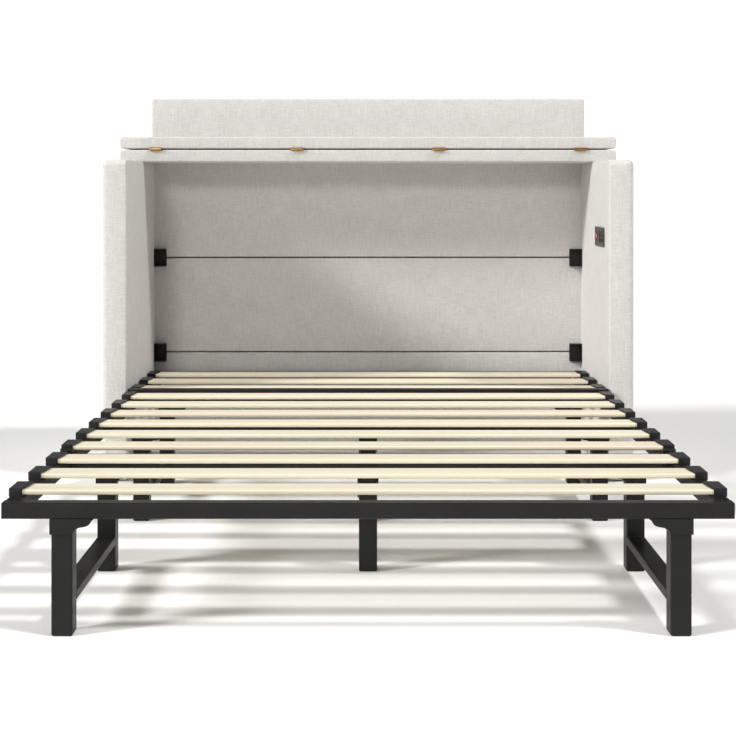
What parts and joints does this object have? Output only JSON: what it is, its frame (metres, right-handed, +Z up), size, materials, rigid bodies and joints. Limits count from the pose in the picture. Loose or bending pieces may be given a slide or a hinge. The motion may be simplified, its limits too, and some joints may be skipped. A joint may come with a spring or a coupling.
{
  "type": "wall bed",
  "caption": "Upholstered cabinet bed with a lift-up flap and a folding slatted steel frame on swing-in legs.",
  "frame": {"origin": "on the floor, at the middle of the object's box", "axes": "+X to the right as seen from the foot, +Y from the foot to the cabinet, +Z up"},
  "size_m": [1.526, 2.0126, 1.137],
  "materials": {
    "linen": "slubbed linen weave, light warm grey",
    "board": "raw particle board",
    "black_steel": "satin powder coat",
    "bright_steel": "zinc plated",
    "black_plastic": "fine grained",
    "outlet_plate": "semi-gloss",
    "red_plastic": "translucent gloss",
    "birch": "clear matt",
    "brass": "satin"
  },
  "bodies": {
    "cabinet": {"side_cover_left": "linen", "side_cover_right": "linen", "side_core_left": "board", "side_core_right": "board", "top_cover": "linen", "top_core": "board", "rear_cover": "linen", "rear_core": "board", "back_cover_lower": "linen", "back_cover_middle": "linen", "back_cover_upper": "linen", "back_cores": "board", "floor_glides": "black_plastic", "corner_brackets": "black_steel", "outlet_housing": "black_plastic", "outlet_faceplate": "outlet_plate", "outlet_sockets": "black_plastic", "flap_hinge_fixed": "brass", "flap_hinge_pins": "brass", "head_tubes": "black_steel", "frame_mounts": "bright_steel", "head_slat_holders": "black_plastic", "slat_10": "birch", "slat_11": "birch", "slat_12": "birch", "head_hinge_leaves": "black_steel", "head_hinge_pins": "bright_steel"},
    "flap": {"flap_cover": "linen", "flap_core": "board", "flap_hinge_moving": "brass"},
    "switch": {"switch_rocker": "red_plastic"},
    "upper_section": {"upper_tubes": "black_steel", "upper_slat_holders": "black_plastic", "slat_07": "birch", "slat_08": "birch", "slat_09": "birch", "upper_hinge_leaves": "black_steel", "upper_leg_brackets": "black_steel", "upper_pins": "black_steel"},
    "middle_section": {"middle_tubes": "black_steel", "middle_slat_holders": "black_plastic", "slat_04": "birch", "slat_05": "birch", "slat_06": "birch", "middle_hinge_leaves": "black_steel", "foot_hinge_pins": "bright_steel"},
    "foot_section": {"foot_tubes": "black_steel", "foot_slat_holders": "black_plastic", "slat_01": "birch", "slat_02": "birch", "slat_03": "birch", "foot_hinge_leaves": "black_steel", "foot_leg_brackets": "black_steel", "foot_leg_pins": "black_steel"},
    "foot_legs_left": {"foot_leg_frame_left": "black_steel"},
    "foot_legs_right": {"foot_leg_frame_right": "black_steel"},
    "foot_leg_middle": {"foot_centre_leg": "black_steel"},
    "upper_legs_left": {"upper_leg_frame_left": "black_steel"},
    "upper_legs_right": {"upper_leg_frame_right": "black_steel"},
    "upper_leg_middle": {"upper_centre_leg": "black_steel"}
  },
  "joints": [
    {"name": "flap_lift", "type": "hinge", "parent": "cabinet", "child": "flap", "pos_m": [0, 0.66705, 0.9618], "axis": [1, 0, 0], "range_deg": [0, 180]},
    {"name": "switch_rock", "type": "hinge", "parent": "cabinet", "child": "switch", "pos_m": [0.69, 0.58675, 0.6975], "axis": [0, 0, -1], "range_deg": [0, 14]},
    {"name": "head_fold", "type": "hinge", "parent": "cabinet", "child": "upper_section", "pos_m": [0, 0.39575, 0.2555], "axis": [-1, 0, 0], "range_deg": [0, 90]},
    {"name": "middle_fold", "type": "hinge", "parent": "upper_section", "child": "middle_section", "pos_m": [0, -0.10625, 0.2555], "axis": [-1, 0, 0], "range_deg": [0, 90]},
    {"name": "foot_fold", "type": "hinge", "parent": "middle_section", "child": "foot_section", "pos_m": [0, -0.51125, 0.2555], "axis": [-1, 0, 0], "range_deg": [0, 90]},
    {"name": "foot_legs_left_fold", "type": "hinge", "parent": "foot_section", "child": "foot_legs_left", "pos_m": [-0.5735, -0.98325, 0.197], "axis": [0, -1, 0], "range_deg": [0, 90]},
    {"name": "foot_legs_right_fold", "type": "hinge", "parent": "foot_section", "child": "foot_legs_right", "pos_m": [0.5865, -0.98325, 0.197], "axis": [0, 1, 0], "range_deg": [0, 90]},
    {"name": "foot_leg_middle_fold", "type": "hinge", "parent": "foot_section", "child": "foot_leg_middle", "pos_m": [0, -0.54025, 0.197], "axis": [-1, 0, 0], "range_deg": [0, 90]},
    {"name": "upper_legs_left_fold", "type": "hinge", "parent": "upper_section", "child": "upper_legs_left", "pos_m": [-0.5735, -0.07425, 0.197], "axis": [0, -1, 0], "range_deg": [0, 90]},
    {"name": "upper_legs_right_fold", "type": "hinge", "parent": "upper_section", "child": "upper_legs_right", "pos_m": [0.5865, -0.07425, 0.197], "axis": [0, 1, 0], "range_deg": [0, 90]},
    {"name": "upper_leg_middle_fold", "type": "hinge", "parent": "upper_section", "child": "upper_leg_middle", "pos_m": [0, -0.07425, 0.197], "axis": [1, 0, 0], "range_deg": [0, 90]}
  ]
}
